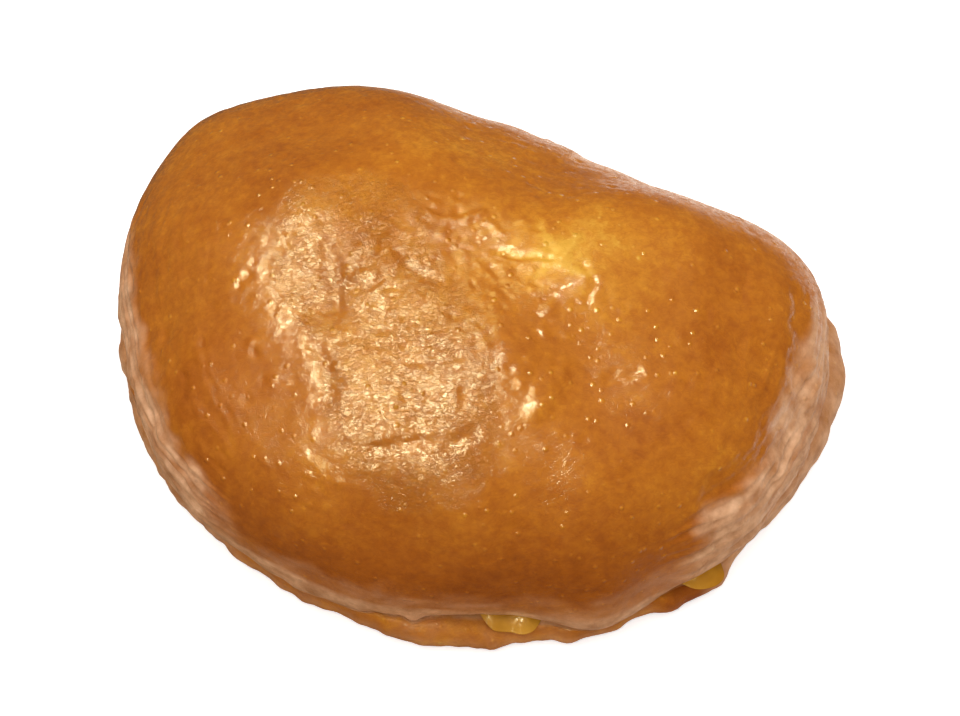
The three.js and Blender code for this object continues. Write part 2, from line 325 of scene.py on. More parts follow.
def dough_sections(theta):
    """Radius, height and share of relief on a grid, with a row for each direction of the column theta.
    A section runs from the crown down the dome, a quarter of a superellipse, round the lip, into the
    pocket and out, and round the slab's edge, half an ellipse, to the foot. Along the fold it goes
    straight down to the foot."""
    r = rim(theta)
    ones = np.ones_like(r["dome"])

    a = steps(RINGS["dome"])[None] * math.pi / 2
    dome = (
        r["dome"] * np.sin(a) ** (2 / CROWN_ROUNDNESS),
        r["widest"] + (HEIGHT - r["widest"]) * np.maximum(0, np.cos(a)) ** (2 / CROWN_FULLNESS),
        ones * np.ones_like(a),
    )
    a = steps(RINGS["curl"])[None] * math.pi / 2
    curl = (
        mix(r["dome"], r["lip"], 1 - np.cos(a)),
        mix(r["widest"], r["lip_height"], np.sin(a)),
        ones * (1 - steps(RINGS["curl"])[None]) ** 2,
    )
    inward = steps(RINGS["pocket"])[None]
    radius, roof, _ = pocket_walls(r, inward)
    roof_part = (radius, roof, 0 * radius)
    outward = 1 - inward
    radius, _, floor = pocket_walls(r, outward)
    floor_part = (radius, floor, 0 * radius)
    s = steps(RINGS["edge"])[None]
    out = np.sin(s * math.pi).clip(0) ** SLAB_ROUNDNESS
    inner = np.where(s < 0.5, r["lip"], r["slab"] - FOOT_TUCK)
    edge = (
        mix(inner, r["slab"], out),
        (r["lip_height"] - r["mouth"]) * (1 + np.cos(s * math.pi)) / 2,
        SLAB_RELIEF * out**4 * ones,
    )
    opened = [np.concatenate(parts, 1) for parts in zip(curl, roof_part, floor_part, edge)]
    a = steps(opened[0].shape[1])[None] * math.pi / 2
    closed = (
        r["dome"] - FOLD_TUCK * (1 - np.cos(a)) ** FOLD_ROUNDNESS,
        r["widest"] * (1 - np.sin(a)),
        np.cos(a) * ones,
    )
    sides = [mix(shut, free, r["seam"]) for shut, free in zip(closed, opened)]
    return [np.concatenate(parts, 1) for parts in zip(dome, sides)]


def grid_normals(grid):
    """Outward unit normals of a grid of directions by rings, from the differences of its neighbours."""
    down = np.gradient(grid, axis=1)
    across = np.roll(grid, -1, 0) - np.roll(grid, 1, 0)
    normal = np.cross(down, across)
    return normal / np.maximum(np.linalg.norm(normal, axis=-1, keepdims=True), 1e-9)


# ---- Relief ----------------------------------------------------------------------------------------
FURROWS = (  # width, depth (a ridge where it is negative), and the places along it from the crown's axis
    (1.1, 0.36, (-18.5, -6.3), (-16.3, -10.1), (-13.6, -13.8), (-12.3, -16.4)),
    (1.0, 0.24, (-19.2, 4.7), (-17.8, 1.9), (-16, -1.2)),
    (0.9, 0.38, (-10.1, -3), (-9.5, -5.3), (-10.2, -7.4), (-12.2, -8.6)),
    (1.0, 0.34, (-15.6, -9.3), (-13.3, -11.3), (-11, -11.9), (-8.9, -10.8), (-7.9, -8.8)),
    (0.9, 0.30, (-8.8, -2.8), (-7.1, -4.5), (-4.9, -5.8), (0, -7.1)),
    (0.7, -0.26, (-5.7, 3.5), (-2.9, 3.5), (-0.2, 5.1), (1.7, 7.1)),
    (0.7, -0.20, (2.9, 5.9), (5.9, 5)),
    (0.6, 0.26, (2.2, -20.7), (4.7, -20.4), (6.3, -19.3), (8.4, -17.4)),
    (0.6, 0.24, (-2.5, -28.3), (-1.2, -28.8), (1, -29.5), (1.8, -29.4)),
    (1.0, 0.42, (0.1, -35.1), (4.1, -33.1), (7.2, -31.3), (8.7, -31.1), (11.7, -29.7), (14.4, -26.7)),
    (1.5, 0.50, (-12.5, -23.1), (-11.1, -25), (-9.2, -26.9), (-7.6, -29.1)),
    (0.9, 0.30, (-14.8, -21.7), (-14.4, -22)),
    (0.8, 0.34, (-20.6, -3.1), (-20.4, -3.3)),
    (0.6, 0.22, (10.3, 14.1), (10.7, 10.1), (10.7, 8.2)),
    (0.7, -0.22, (16.3, 5.3), (17, 9.1)),
    (0.7, 0.20, (14.1, 3.9), (9.7, 2.2), (6.3, 1.6)),
    (0.7, 0.20, (14.1, 3.9), (13.8, -1)),
    (0.9, -0.30, (9, -1.6), (9.2, -1.2)),
    (0.8, -0.25, (17.4, -4.2), (18.1, -8.3)),
    (1.6, -0.42, (22.5, -12.5), (22.1, -16), (21.4, -20.4)),
    (0.7, 0.20, (21.9, 3.3), (22, -0.6)),
    (0.8, 0.26, (29.4, -10.4), (31.4, -9.1), (32.8, -7.4)),
    (0.7, 0.18, (39.6, 7.8), (40, 5.4)),
    (0.8, 0.22, (42.6, 16.8), (43.5, 12)),
    (1.8, 0.8, (51, 18), (54, 11), (56.5, 4.9), (56.3, -1), (55, -7), (52, -12.5), (49, -18)),
    (1.0, -0.7, (56.8, 11.5), (59, 5), (58.8, -1), (57.3, -7)),
    (1.2, 0.40, (-38.8, -24.8), (-39.7, -27.1), (-37.6, -30)),
    (1.4, 0.55, (-38, -32.2), (-37.1, -34.4), (-35.8, -36.3)),
    (1.4, 0.50, (-42.6, -30), (-40.2, -33), (-37.5, -35.8)),
    (1.2, 0.40, (-30.3, -39.2), (-28.3, -41.5)),
)
WRINKLES = (  # bearing, size across and along, height, and where they are and how far they reach
    (32, 1.5, 5.5, 0.05, (2, -19), 19),
    (68, 1.4, 6, 0.07, (-25, -8), 11),
    (20, 2.4, 5, 0.045, (0, 0), 90),
    (88, 2.0, 9, 0.3, (56, 0), 15),
    (105, 2.0, 8, 0.26, (-50, -14), 14),
    (-48, 2.0, 8, 0.24, (-34, -38), 14),
    (150, 2.2, 8, 0.18, (-40, 24), 16),
)
FURROW_DEPTH = 0.75
FURROW_UNEVEN = 0.45
FURROW_BEND = 0.6
BANKS = 0.4  # the depth of a valley's wider bell, whose edges are its banks
FURROW_BANKS = 2  # how many times as wide as the narrow bell it is
SPECK_BANKS = 1.8
WRINKLE_BEND = 0.35
WRINKLE_BEND_SIZE = 4
WRINKLE_SEED = 30
WRINKLE_BEND_SEED = 90
WRINKLE_LEVEL = 0.35  # how far from zero the noise is where the crust is level
WRINKLE_FLATTENED = 0.7
WRINKLES_END = 1.4  # how many reaches from their place they end
STREAK_LENGTH = 11
STREAK_STRETCH = 5  # how many times as long as high
# the pale flanks are partly bare dough and partly a painted reflection of the bright surroundings
PALE_BORDERS = [  # how much higher the pale flanks reach at the ends
    dict(at=2, half=36, ramp=16, by=9),
    dict(at=212, half=42, ramp=20, by=7),
    dict(at=110, half=70, ramp=30, by=1),
]
FOLDS_BELOW = 30
FOLDS_EDGE = 6
FOLDS_HEIGHT = 0.8
FOLDS_LEVEL = 0.3
FOLDS_SEED = 50
SPECKS = 420
SPECK_SEED = 7
SPECKS_ABOVE = 14
SPECK_SIZES = (0.5, 0.95)
SPECK_REACH = 3  # times its size
SPECK_DEPTHS = (0.05, 0.22)
PITS = 0.65  # the share of the specks that are pits
RAISED = -0.8  # a raised speck's height beside a pit's depth
SWELLING = 0.05
SMALL_SWELLING = 0.036
NET_BEND = 1.4
NET_DEPTH = 0.05
NET_WIDTH = 0.12
NET_PATCHY = 1.2
FINE_GAIN = 1.2  # the fine relief fades later than the soft shaping


def to_line(points, start, end):
    """Distance, seen from above, from points to a straight line between two places."""
    start, end = np.array(start, float), np.array(end, float)
    along = end - start
    share = np.clip((points[..., :2] - start) @ along / (along @ along), 0, 1)
    return np.linalg.norm(points[..., :2] - start - share[..., None] * along, axis=-1)


def to_path(points, path):
    """Distance, seen from above, from points to a path of straight stretches."""
    return np.min([to_line(points, a, b) for a, b in zip(path, path[1:])], axis=0)


def hand_shaping(points):
    """The waves, dents and swells that the CAD model has too: a sum of sines along headings, less a
    smooth hollow round each dent's line, and a smooth rise about each swell's place."""
    height = np.zeros(points.shape[:-1])
    for length, heading, climb, phase, amount in WAVES:
        h, c = math.radians(heading), math.radians(climb)
        along = np.array([math.cos(h) * math.cos(c), math.sin(h) * math.cos(c), math.sin(c)])
        height += amount * np.sin(points @ along * math.tau / length + phase)
    for start, end, reach, depth in DENTS:
        height -= depth * bell(to_line(points, start, end) / reach)
    for place, reach, amount in TOP_SWELLS:
        height += amount * bell(from_place(points, place) / reach)
    return height


def valley(away, banks):
    """The section of a valley with low banks: a narrow bell, less a wider and lower one."""
    return (1 + BANKS) * np.exp(-(away**2)) - BANKS * np.exp(-((away / banks) ** 2))


def furrows(points):
    """Valleys, and ridges, with low banks: each is a function of the distance from its bent path."""
    height = np.zeros(points.shape[:-1])
    uneven = 1 + FURROW_UNEVEN * mottle(points, *NOISES["furrow_width"])
    points = bent(points, FURROW_BEND, *NOISES["furrow_bend"])
    for width, depth, *path in FURROWS:
        height -= FURROW_DEPTH * depth * valley(to_path(points, path) / (width * uneven), FURROW_BANKS)
    return height


def wrinkles(points):
    """Small folds with sharp crests, where noise that is drawn out along a bearing crosses zero."""
    height = np.zeros(points.shape[:-1])
    for k, (bearing, across, along, amount, place, reach) in enumerate(WRINKLES):
        a = math.radians(bearing)
        turned = points @ np.array([
            [math.cos(a) / along, -math.sin(a) / across, 0],
            [math.sin(a) / along, math.cos(a) / across, 0],
            [0, 0, WRINKLE_FLATTENED / across],
        ])
        bend = WRINKLE_BEND * mottle(points, WRINKLE_BEND_SIZE, WRINKLE_BEND_SEED + k, 1)[..., None]
        folded = WRINKLE_LEVEL - np.abs(gradient_noise(turned + bend, WRINKLE_SEED + k))
        height += amount * smooth(WRINKLES_END - from_place(points, place) / reach) * folded
    return height


def specks(points):
    """Small pits and pimples, strewn over the dome: each is a round valley, or one turned over, about
    its own place."""
    rng = np.random.default_rng(SPECK_SEED)
    height = np.zeros(points.shape[:-1])
    flat = points.reshape(-1, 3)
    out = height.reshape(-1)
    dome = np.flatnonzero(flat[:, 2] > SPECKS_ABOVE)
    places = flat[rng.choice(dome, SPECKS)]
    sizes = rng.uniform(*SPECK_SIZES, SPECKS)
    depths = rng.uniform(*SPECK_DEPTHS, SPECKS) * np.where(rng.random(SPECKS) < PITS, 1, RAISED)
    for place, size, depth in zip(places, sizes, depths):
        close = np.flatnonzero(np.abs(flat - place).max(1) < SPECK_REACH * size)
        away = np.linalg.norm(flat[close] - place, axis=1) / size
        out[close] -= depth * valley(away, SPECK_BANKS)
    return height


def streaks(points, seed):
    """Noise drawn out along the rim, for the folds and stains that follow the seam."""
    level = STREAK_STRETCH * points[..., 2]
    return mottle(around(heading_of(points), RIM_RADIUS + 0 * level, level), STREAK_LENGTH, seed)


def flank_folds(points):
    """Low folds with sharp crests, along the seam on the pale flanks at both ends."""
    ends = smooth(sum_of(heading_of(points), PALE_BORDERS) / FOLDS_EDGE)
    low = smooth((FOLDS_BELOW - points[..., 2]) / FOLDS_EDGE)
    return FOLDS_HEIGHT * ends * low * (FOLDS_LEVEL - np.abs(streaks(points, FOLDS_SEED)))


def crinkles(points):
    """All the crust's finer relief: soft swellings, furrows, wrinkles, folds and specks, and a faint
    net of valleys where bent noise crosses zero."""
    moved = bent(points, NET_BEND, *NOISES["net_bend"])
    swelling = SWELLING * mottle(points, *NOISES["swelling"])
    swelling += SMALL_SWELLING * mottle(moved, *NOISES["small_swelling"])
    patches = smooth(0.5 + NET_PATCHY * mottle(points, *NOISES["net_patches"]))
    net = np.exp(-((mottle(moved, *NOISES["net"]) / NET_WIDTH) ** 2))
    lines = furrows(points) + wrinkles(points) + flank_folds(points)
    return swelling - NET_DEPTH * net * patches + lines + specks(points)


def dough_grid():
    """The dough's surface as a grid of points, with its relief, and its topmost point."""
    radius, height, amount = dough_sections(DIRECTIONS)
    plain = around(DIRECTIONS, radius, height)
    level = bell((height - SIDE_FOLD_HEIGHT) / SIDE_FOLD_REACH)
    flank = bell((height - FLANK_HEIGHT) / FLANK_REACH)
    r = rim(DIRECTIONS)
    raised = hand_shaping(plain) - r["fold"] * level + r["flank"] * flank
    shaped = plain + grid_normals(plain) * (amount * raised)[..., None]
    fine = crinkles(shaped) * np.clip(amount * FINE_GAIN, 0, 1)
    grid = shaped + grid_normals(shaped) * fine[..., None]
    grid[..., 2] = np.maximum(grid[..., 2], 0)
    grid[:, -1, 2] = 0
    foot = grid[:, -1:]
    bottom = foot * (1 - steps(RINGS["bottom"])[None, :-1, None])
    return np.concatenate([grid, bottom], 1), grid[:, 0].mean(0)


# ---- Meshes ----------------------------------------------------------------------------------------
def closed_mesh(name, first, grid, last):
    """A closed mesh through a grid whose rows join up, with a fan to one point at each end."""
    rows, rings = grid.shape[:2]
    points = np.concatenate([[first], grid.transpose(1, 0, 2).reshape(-1, 3), [last]])
    i = np.arange(rows)
    j = (i + 1) % rows
    ring = 1 + rows * np.arange(rings - 1)[:, None]
    quads = np.stack([ring + i, ring + rows + i, ring + rows + j, ring + j], -1).reshape(-1, 4)
    start = np.stack([0 * i, 1 + i, 1 + j], -1)
    base = 1 + rows * (rings - 1)
    end = np.stack([base + j, base + i, 0 * i + len(points) - 1], -1)
    mesh = bpy.data.meshes.new(name)
    points = (points + CROWN_PLACE) * MM
    mesh.from_pydata(points.tolist(), [], [*start.tolist(), *quads.tolist(), *end.tolist()])
    mesh.shade_smooth()
    return mesh


def add_object(name, data):
    """An object in the scene, of a mesh, a light or a camera."""
    thing = bpy.data.objects.new(name, data)
    bpy.context.scene.collection.objects.link(thing)
    return thing


def make_piece(name, mesh, material, node):
    """A piece that rides on the bun's one body, stands in for a CAD node, which it hides, and takes its
    material.
    """
    mesh.materials.append(material)
    piece = add_object(name, mesh)
    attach(piece, "root")
    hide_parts(node)


# ---- Materials -------------------------------------------------------------------------------------
CRUST_COLOURS = (  # how much it is baked, and its colour then
    (0.2, (0.72, 0.36, 0.042)),
    (0.36, (0.60, 0.224, 0.018)),
    (0.5, (0.50, 0.158, 0.0125)),
    (0.7, (0.39, 0.104, 0.008)),
    (1.0, (0.24, 0.050, 0.004)),
)
# pale bare dough, made brighter and pinker so that on the flanks it also holds a painted reflection
PALE_DOUGH_AND_REFLECTION = ((0.3, (0.45, 0.20, 0.085)), (0.7, (0.87, 0.52, 0.31)))
CRUST_ROUGHNESS = ((0.3, (0.34,) * 3), (0.7, (0.46,) * 3))
CUSTARD_COLOURS = ((0.3, (0.46, 0.185, 0.009)), (0.7, (0.64, 0.31, 0.03)))
TEXTURES = dict(  # size in millimetres, detail and roughness
    clouds=(11, 4, 0.55),
    flecks=(1.8, 3, 0.6),
    bare_dough_and_reflection=(3.5, 5, 0.6),
    dull_spots=(4, 2, 0.5),
    glaze_spots=(0.9, 4, 0.65),
    custard=(4, 2, 0.5),
    wet_spots=(1.2, 3, 0.5),
)
GRAINS = dict(  # size across and along in millimetres, and bearing
    facets=(0.75, 1.3, 40),
    facet_edges=(0.42, 0.8, 30),
    fine_creases=(1.3, 2.4, 35),
)
CLOUDS_CHANGE = 0.34
FLECKS_CHANGE = 0.42
GLAZE_RANGE = (0.38, 0.6, 0.22, 1.1)  # the noise, from and to, and how thin and thick the glaze is
WET_RANGE = (0.53, 0.63, 0.03, 0.4)  # the noise, from and to, and how dry and wet the custard is
FACET_TILT = 0.075
FACET_EDGE = 0.05  # how far from its middle the noise is where a facet is level
FACET_HEIGHT = 0.035
CREASE_WIDTH = 0.07  # how far from its middle the noise is where a crease ends
# the fine creases are darkened in colour: painted shade
CREASE_PAINTED_SHADE = 0.06
CREASE_DEPTH = 0.008
PIMPLE_CELL = 1.8
PIMPLE_REACH = 0.3
PIMPLE_HEIGHT = 0.17
# the pimples are made paler in colour: painted light
PIMPLE_PAINTED_LIGHT = 0.24
PIMPLE_RANGE = (0.4, 0.8)  # the darkest cells have no pimple and the brightest a whole one


def new_material(name):
    """A new material and its shader."""
    material = bpy.data.materials.new(name)
    material.use_nodes = True
    return material, material.node_tree.nodes["Principled BSDF"]


def add_node(material, kind, inputs=(), **settings):
    """A node of a material, or of the world, with its settings, and its inputs as numbers or as other
    nodes' outputs."""
    node = material.node_tree.nodes.new(kind)
    for key, value in settings.items():
        setattr(node, key, value)
    for key, value in dict(inputs).items():
        if isinstance(value, bpy.types.NodeSocket):
            material.node_tree.links.new(value, node.inputs[key])
        else:
            node.inputs[key].default_value = value
    return node


def link(material, output, node, name):
    """A link from an output to a node's input of a name."""
    material.node_tree.links.new(output, node.inputs[name])


def object_place(material):
    """Each point's own place on the object, in metres."""
    return add_node(material, "ShaderNodeTexCoord").outputs["Object"]


def attribute(material, name):
    """What the mesh keeps at its points under a name."""
    return add_node(material, "ShaderNodeAttribute", attribute_name=name).outputs["Fac"]


def noise(material, name):
    """Noise on Object coordinates, as the table of textures has it."""
    size, detail, roughness = TEXTURES[name]
    place = object_place(material)
    inputs = dict(Vector=place, Scale=1 / (size * MM), Detail=detail, Roughness=roughness)
    return add_node(material, "ShaderNodeTexNoise", inputs).outputs["Fac"]


def grain(material, name):
    """Noise drawn out along a bearing, as the table of grains has it."""
    across, along, bearing = GRAINS[name]
    turn = dict(Vector=object_place(material), Angle=-math.radians(bearing))
    turned = add_node(material, "ShaderNodeVectorRotate", turn, rotation_type="Z_AXIS").outputs["Vector"]
    size = (1 / (along * MM), 1 / (across * MM), 1 / (across * MM))
    stretched = add_node(material, "ShaderNodeVectorMath", {0: turned, 1: size}, operation="MULTIPLY")
    inputs = dict(Vector=stretched.outputs["Vector"], Scale=1, Detail=3, Roughness=0.6, Distortion=0.9)
    return add_node(material, "ShaderNodeTexNoise", inputs).outputs["Fac"]


def ramp(material, fac, stops):
    """A colour ramp through stops of (place, colour)."""
    node = add_node(material, "ShaderNodeValToRGB", dict(Fac=fac))
    elements = node.color_ramp.elements
    while len(elements) < len(stops):
        elements.new(0.5)
    for element, (place, colour) in zip(elements, stops):
        element.position = place
        element.color = (*colour, 1)
    return node.outputs["Color"]


def mix_colours(material, share, first, second):
    """A share of the way from the first colour to the second."""
    inputs = {0: share, 6: first, 7: second}
    return add_node(material, "ShaderNodeMix", inputs, data_type="RGBA").outputs[2]


def math_node(material, operation, a, b):
    """What an operation makes of two values."""
    return add_node(material, "ShaderNodeMath", {0: a, 1: b}, operation=operation).outputs[0]


def added(material, total, *others):
    """The sum of several values."""
    for value in others:
        total = math_node(material, "ADD", total, value)
    return total


def scaled(material, value, by, plus=0.0):
    """A value times a number, plus another."""
    inputs = {0: value, 1: by, 2: plus}
    return add_node(material, "ShaderNodeMath", inputs, operation="MULTIPLY_ADD").outputs[0]


def centred(material, value, by):
    """A value that runs from 0 to 1, less its middle, times a number."""
    return scaled(material, value, by, -by / 2)


def map_range(material, value, start, end, to_start=0.0, to_end=1.0):
    """A smooth way from one number to another as a value goes from start to end."""
    inputs = {"Value": value, "From Min": start, "From Max": end, "To Min": to_start, "To Max": to_end}
    node = add_node(material, "ShaderNodeMapRange", inputs, interpolation_type="SMOOTHSTEP")
    return node.outputs["Result"]


def off_middle(material, name):
    """How far a grain is from its middle, which it crosses along many short lines."""
    off = math_node(material, "SUBTRACT", grain(material, name), 0.5)
    return math_node(material, "ABSOLUTE", off, 0)


def crinkle_height(material):
    """The glaze's finest crinkles, in millimetres: facets that tilt a little, parted by creases where
    drawn-out noise crosses its middle."""
    tilt = scaled(material, grain(material, "facets"), FACET_TILT)
    facet = map_range(material, off_middle(material, "facet_edges"), 0, FACET_EDGE, 0, FACET_HEIGHT)
    return math_node(material, "MULTIPLY", added(material, tilt, facet), attribute(material, "crinkled"))


def creases(material):
    """1 in the fine creases all over the crust, where drawn-out noise crosses its middle, 0 beside: the
    crust is cut in there and darkened with painted shade.
    """
    return map_range(material, off_middle(material, "fine_creases"), 0, CREASE_WIDTH, 1, 0)


def pimples(material):
    """1 on top of small round pimples and 0 beside: some of the cells of a cell pattern have one. They
    are raised, and paler with painted light.
    """
    inputs = dict(Vector=object_place(material), Scale=1 / (PIMPLE_CELL * MM))
    cells = add_node(material, "ShaderNodeTexVoronoi", inputs)
    bump = map_range(material, cells.outputs["Distance"], 0, PIMPLE_REACH, 1, 0)
    chosen = map_range(material, cells.outputs["Color"], *PIMPLE_RANGE)
    return math_node(material, "MULTIPLY", bump, chosen)


def glazed_crust():
    """Egg-glazed crust: its colour runs from gold to deep brown by how much it is baked, with painted
    shade in a belt low on the front and in the fine creases, and painted light on the pimples. Where
    the glaze didn't reach, it is pale, pinkish and duller, and on the flanks that paleness is partly a
    painted reflection of the bright surroundings."""
    material, shader = new_material("glazed crust")
    crease = creases(material)
    pimple = pimples(material)
    level = added(
        material,
        # how much it is baked, with the belt of painted shade in it
        attribute(material, "baked"),
        centred(material, noise(material, "clouds"), CLOUDS_CHANGE),
        centred(material, noise(material, "flecks"), FLECKS_CHANGE),
        # painted shade in the fine creases
        scaled(material, crease, CREASE_PAINTED_SHADE),
        # painted light on the pimples
        scaled(material, pimple, -PIMPLE_PAINTED_LIGHT),
    )
    baked = ramp(material, level, CRUST_COLOURS)
    # bare dough, which on the flanks also stands for a painted reflection
    bare = ramp(material, noise(material, "bare_dough_and_reflection"), PALE_DOUGH_AND_REFLECTION)
    colour = mix_colours(material, attribute(material, "pale"), baked, bare)
    link(material, colour, shader, "Base Color")
    rough = ramp(material, noise(material, "dull_spots"), CRUST_ROUGHNESS)
    link(material, rough, shader, "Roughness")
    shader.inputs["Specular IOR Level"].default_value = 0.05
    thick = map_range(material, noise(material, "glaze_spots"), *GLAZE_RANGE)
    glaze = math_node(material, "MULTIPLY", attribute(material, "glazed"), thick)
    link(material, glaze, shader, "Coat Weight")
    shader.inputs["Coat IOR"].default_value = 1.45
    shader.inputs["Coat Roughness"].default_value = 0.045
    height = added(
        material,
        crinkle_height(material),
        scaled(material, pimple, PIMPLE_HEIGHT),
        scaled(material, crease, -CREASE_DEPTH),
    )
    crinkle = add_node(material, "ShaderNodeBump", dict(Strength=1.0, Distance=MM, Height=height))
    link(material, crinkle.outputs["Normal"], shader, "Normal")
    link(material, crinkle.outputs["Normal"], shader, "Coat Normal")
    return material


def moist_custard():
    """Thick, moist, yellow custard, wetter in spots."""
    material, shader = new_material("moist custard")
    colour = ramp(material, noise(material, "custard"), CUSTARD_COLOURS)
    link(material, colour, shader, "Base Color")
    shader.inputs["Roughness"].default_value = 0.45
    shader.inputs["Specular IOR Level"].default_value = 0.05
    wet = map_range(material, noise(material, "wet_spots"), *WET_RANGE)
    link(material, wet, shader, "Coat Weight")
    shader.inputs["Coat Roughness"].default_value = 0.1
    return material


# ---- How much each place is baked, with painted shade, and how pale, glazed and crinkled -----------
BAKED_TOP = 0.54
BAKED_CLOUDS = 0.06
BAKED_SPOTS = 0.05
# a belt of painted shade low on the front, put in as if the crust were more baked there
BELT = dict(at=290, half=110)
BELT_HEIGHT = 21
BELT_REACH = 8
BELT_PAINTED_SHADE = 0.26
STAR_PLACE = (14.4, 4.6)
PALE_PATCHES = (  # place from the crown's axis, reach, how much less baked
    (STAR_PLACE, 8, 0.12),
    ((19, 7), 22, 0.16),
    ((-4, 22), 24, 0.05),
    ((-29, -32), 18, -0.16),
)
PATCHES_ABOVE = 25
PATCHES_EDGE = 10
STAR_RAYS = (  # from the star's middle
    (10.7, 9.5), (17, 9.1), (6.3, 1.6), (13.6, -2), (20, 3),
)
RAY_WIDTH = 0.9
RAY_PALER = 0.16
RAY_BEND = 0.8
PALE_ABOVE = 2.5  # how far above the widest line the flanks are pale
PALE_RAGGED = 2.4
PALE_EDGE = 5
PALE_FRONT = 0.28
PALE_ENDS = 0.95
ENDS_RISE = 8  # how much higher the pale side reaches where it is as pale as it gets
PALE_SPOTS = 0.45
PALE_STREAKS = 0.5
STREAKS_SEED = 53
PALE_LIP = 0.9
LIP_LINE_BELOW = 2.2  # how far below the widest line the lip's pale line starts
LIP_LINE_EDGE = 1.4
ZONES = dict(inside=0.4, ledge=0.51, ledge_rim=0.42, foot=0.5, bottom=0.62)  # how much they are baked
PALENESS = dict(inside=0.6, ledge=0.1, ledge_rim=0.35, foot=0.3, bottom=0.1)  # and how pale
LEDGE_RIM_WIDTH = 0.14  # these three are shares of the way round the lower layer's edge
FOOT_FROM = 0.3
FOOT_RAMP = 0.5
EXTRA_BESIDE = 0.6  # the share of an extra level that the lower layer has beside its rim
SLAB_SPOTS = 0.1
# the lower layer's paleness at the ends is, as on the flanks, partly a painted reflection
SLAB_ENDS = 0.85  # how much paler the lower layer is at the ends
# darker, and less pale, along the lower layer's edge below the custard
DARKER_EDGE = dict(at=335, half=9, by=0.5)
DARKER_EDGE_LESS_PALE = 2
CRINKLED_PATH = ((-16, -5), (-1, -19), (6, -27))
CRINKLED_REACH = 14.5
CRINKLED_EDGE = 4
CRINKLED_RAGGED = 2
CRINKLED_TOP = 0.9
CRINKLED_SPOTS = 0.5
CRINKLED_LEAST = 0.06
CRINKLED_MOST = 1.3
CRINKLED_FLANK = 0.4
CRINKLED_FLANK_BELOW = 24
CRINKLED_FLANK_EDGE = 6
GLAZED = dict(inside=0.05, ledge=0.15, ledge_rim=0.15, foot=0.1, bottom=0)  # how much glaze there is
GLAZED_MOST = 1.2
GLAZED_SPOTS = 0.18
GLAZED_FLANK = 0.4
GLAZED_RAGGED = 3
FLANK_FROM = 28  # the glaze thins out over the flanks, from this height
FLANK_TO = 18  # to this one
DULL_PLACES = (  # place, reach, how much less glaze
    ((-27, -32), 17, 0.8),
    ((-13, 5), 17, 0.6),
    (STAR_PLACE, 9, 0.35),
)
DULL_RAGGED = 2
DULL_STEEPNESS = 1.6


def baked_and_painted_shade(points):
    """How much each point of the outside is baked, 0 pale to 1 deep brown: darkest in a belt of painted
    shade low on the front, and paler in patches on the top and in the star-shaped dimple near the
    crown."""
    height = points[..., 2]
    belt = np.exp(-(((height - BELT_HEIGHT) / BELT_REACH) ** 2)) * stretch(heading_of(points), **BELT)
    baked = BAKED_TOP + BELT_PAINTED_SHADE * belt + BAKED_CLOUDS * mottle(points, *NOISES["baked_clouds"])
    baked += BAKED_SPOTS * mottle(points, *NOISES["baked_spots"])
    top = smooth((height - PATCHES_ABOVE) / PATCHES_EDGE)
    for place, reach, less in PALE_PATCHES:
        baked -= less * bell(from_place(points, place) / reach) * top
    moved = bent(points, RAY_BEND, *NOISES["star_bend"])
    for tip in STAR_RAYS:
        away = to_line(moved, STAR_PLACE, tip) / RAY_WIDTH
        baked -= RAY_PALER * np.exp(-(away**2)) * top
    return baked


def pale_and_reflection_share(points, r):
    """How pale each point of the outside is: the flanks, up to a ragged border above the widest line and
    most of all at the ends, where it is partly bare dough and partly a painted reflection of the bright
    surroundings, and a line along the lip."""
    height = points[..., 2]
    above = sum_of(heading_of(points), PALE_BORDERS)
    border = r["widest"] + PALE_ABOVE + above + PALE_RAGGED * mottle(points, *NOISES["pale_border"])
    spots = PALE_SPOTS * mottle(points, *NOISES["pale_spots"])
    band = mix(PALE_FRONT, PALE_ENDS, smooth(above / ENDS_RISE))
    band = band * (1 + spots + PALE_STREAKS * streaks(points, STREAKS_SEED))
    band = band * smooth((border - height) / PALE_EDGE + 0.5)
    lip = smooth((r["widest"] - LIP_LINE_BELOW - height) / LIP_LINE_EDGE + 0.5)
    return np.maximum(band, PALE_LIP * lip * r["seam"])


def zone_levels(r, zones, extra=0.0):
    """A level of the pocket, the lower layer and the bottom, ring by ring."""
    ones = np.ones_like(r["lip"])
    s = steps(RINGS["edge"])[None]
    rim_share = np.exp(-(((s - 0.5) / LEDGE_RIM_WIDTH) ** 2))
    edge = mix(zones["ledge"], zones["foot"], smooth((s - FOOT_FROM) / FOOT_RAMP))
    edge = mix(edge, zones["ledge_rim"], rim_share) + extra * mix(EXTRA_BESIDE, 1, rim_share)
    inside = zones["inside"] * ones * np.ones((1, 2 * RINGS["pocket"]))
    return inside, edge, zones["bottom"] * ones * np.ones((1, RINGS["bottom"] - 1))


def all_levels(grid, r, outside, zones, extra=0.0):
    """A level at every point of the dough's grid: the outside's own, changed in the seam to that of
    the zone."""
    inside, edge, bottom = zone_levels(r, zones, extra)
    first = RINGS["dome"] + RINGS["curl"]
    level = outside.copy()
    last = first + inside.shape[1]
    level[:, first:last] = mix(outside[:, first:last], inside, r["seam"])
    first, last = last, last + edge.shape[1]
    spots = SLAB_SPOTS * mottle(grid[:, first:last], *NOISES["slab_spots"])
    level[:, first:last] = mix(outside[:, first:last], edge + spots, r["seam"])
    level[:, last:] = bottom
    return level


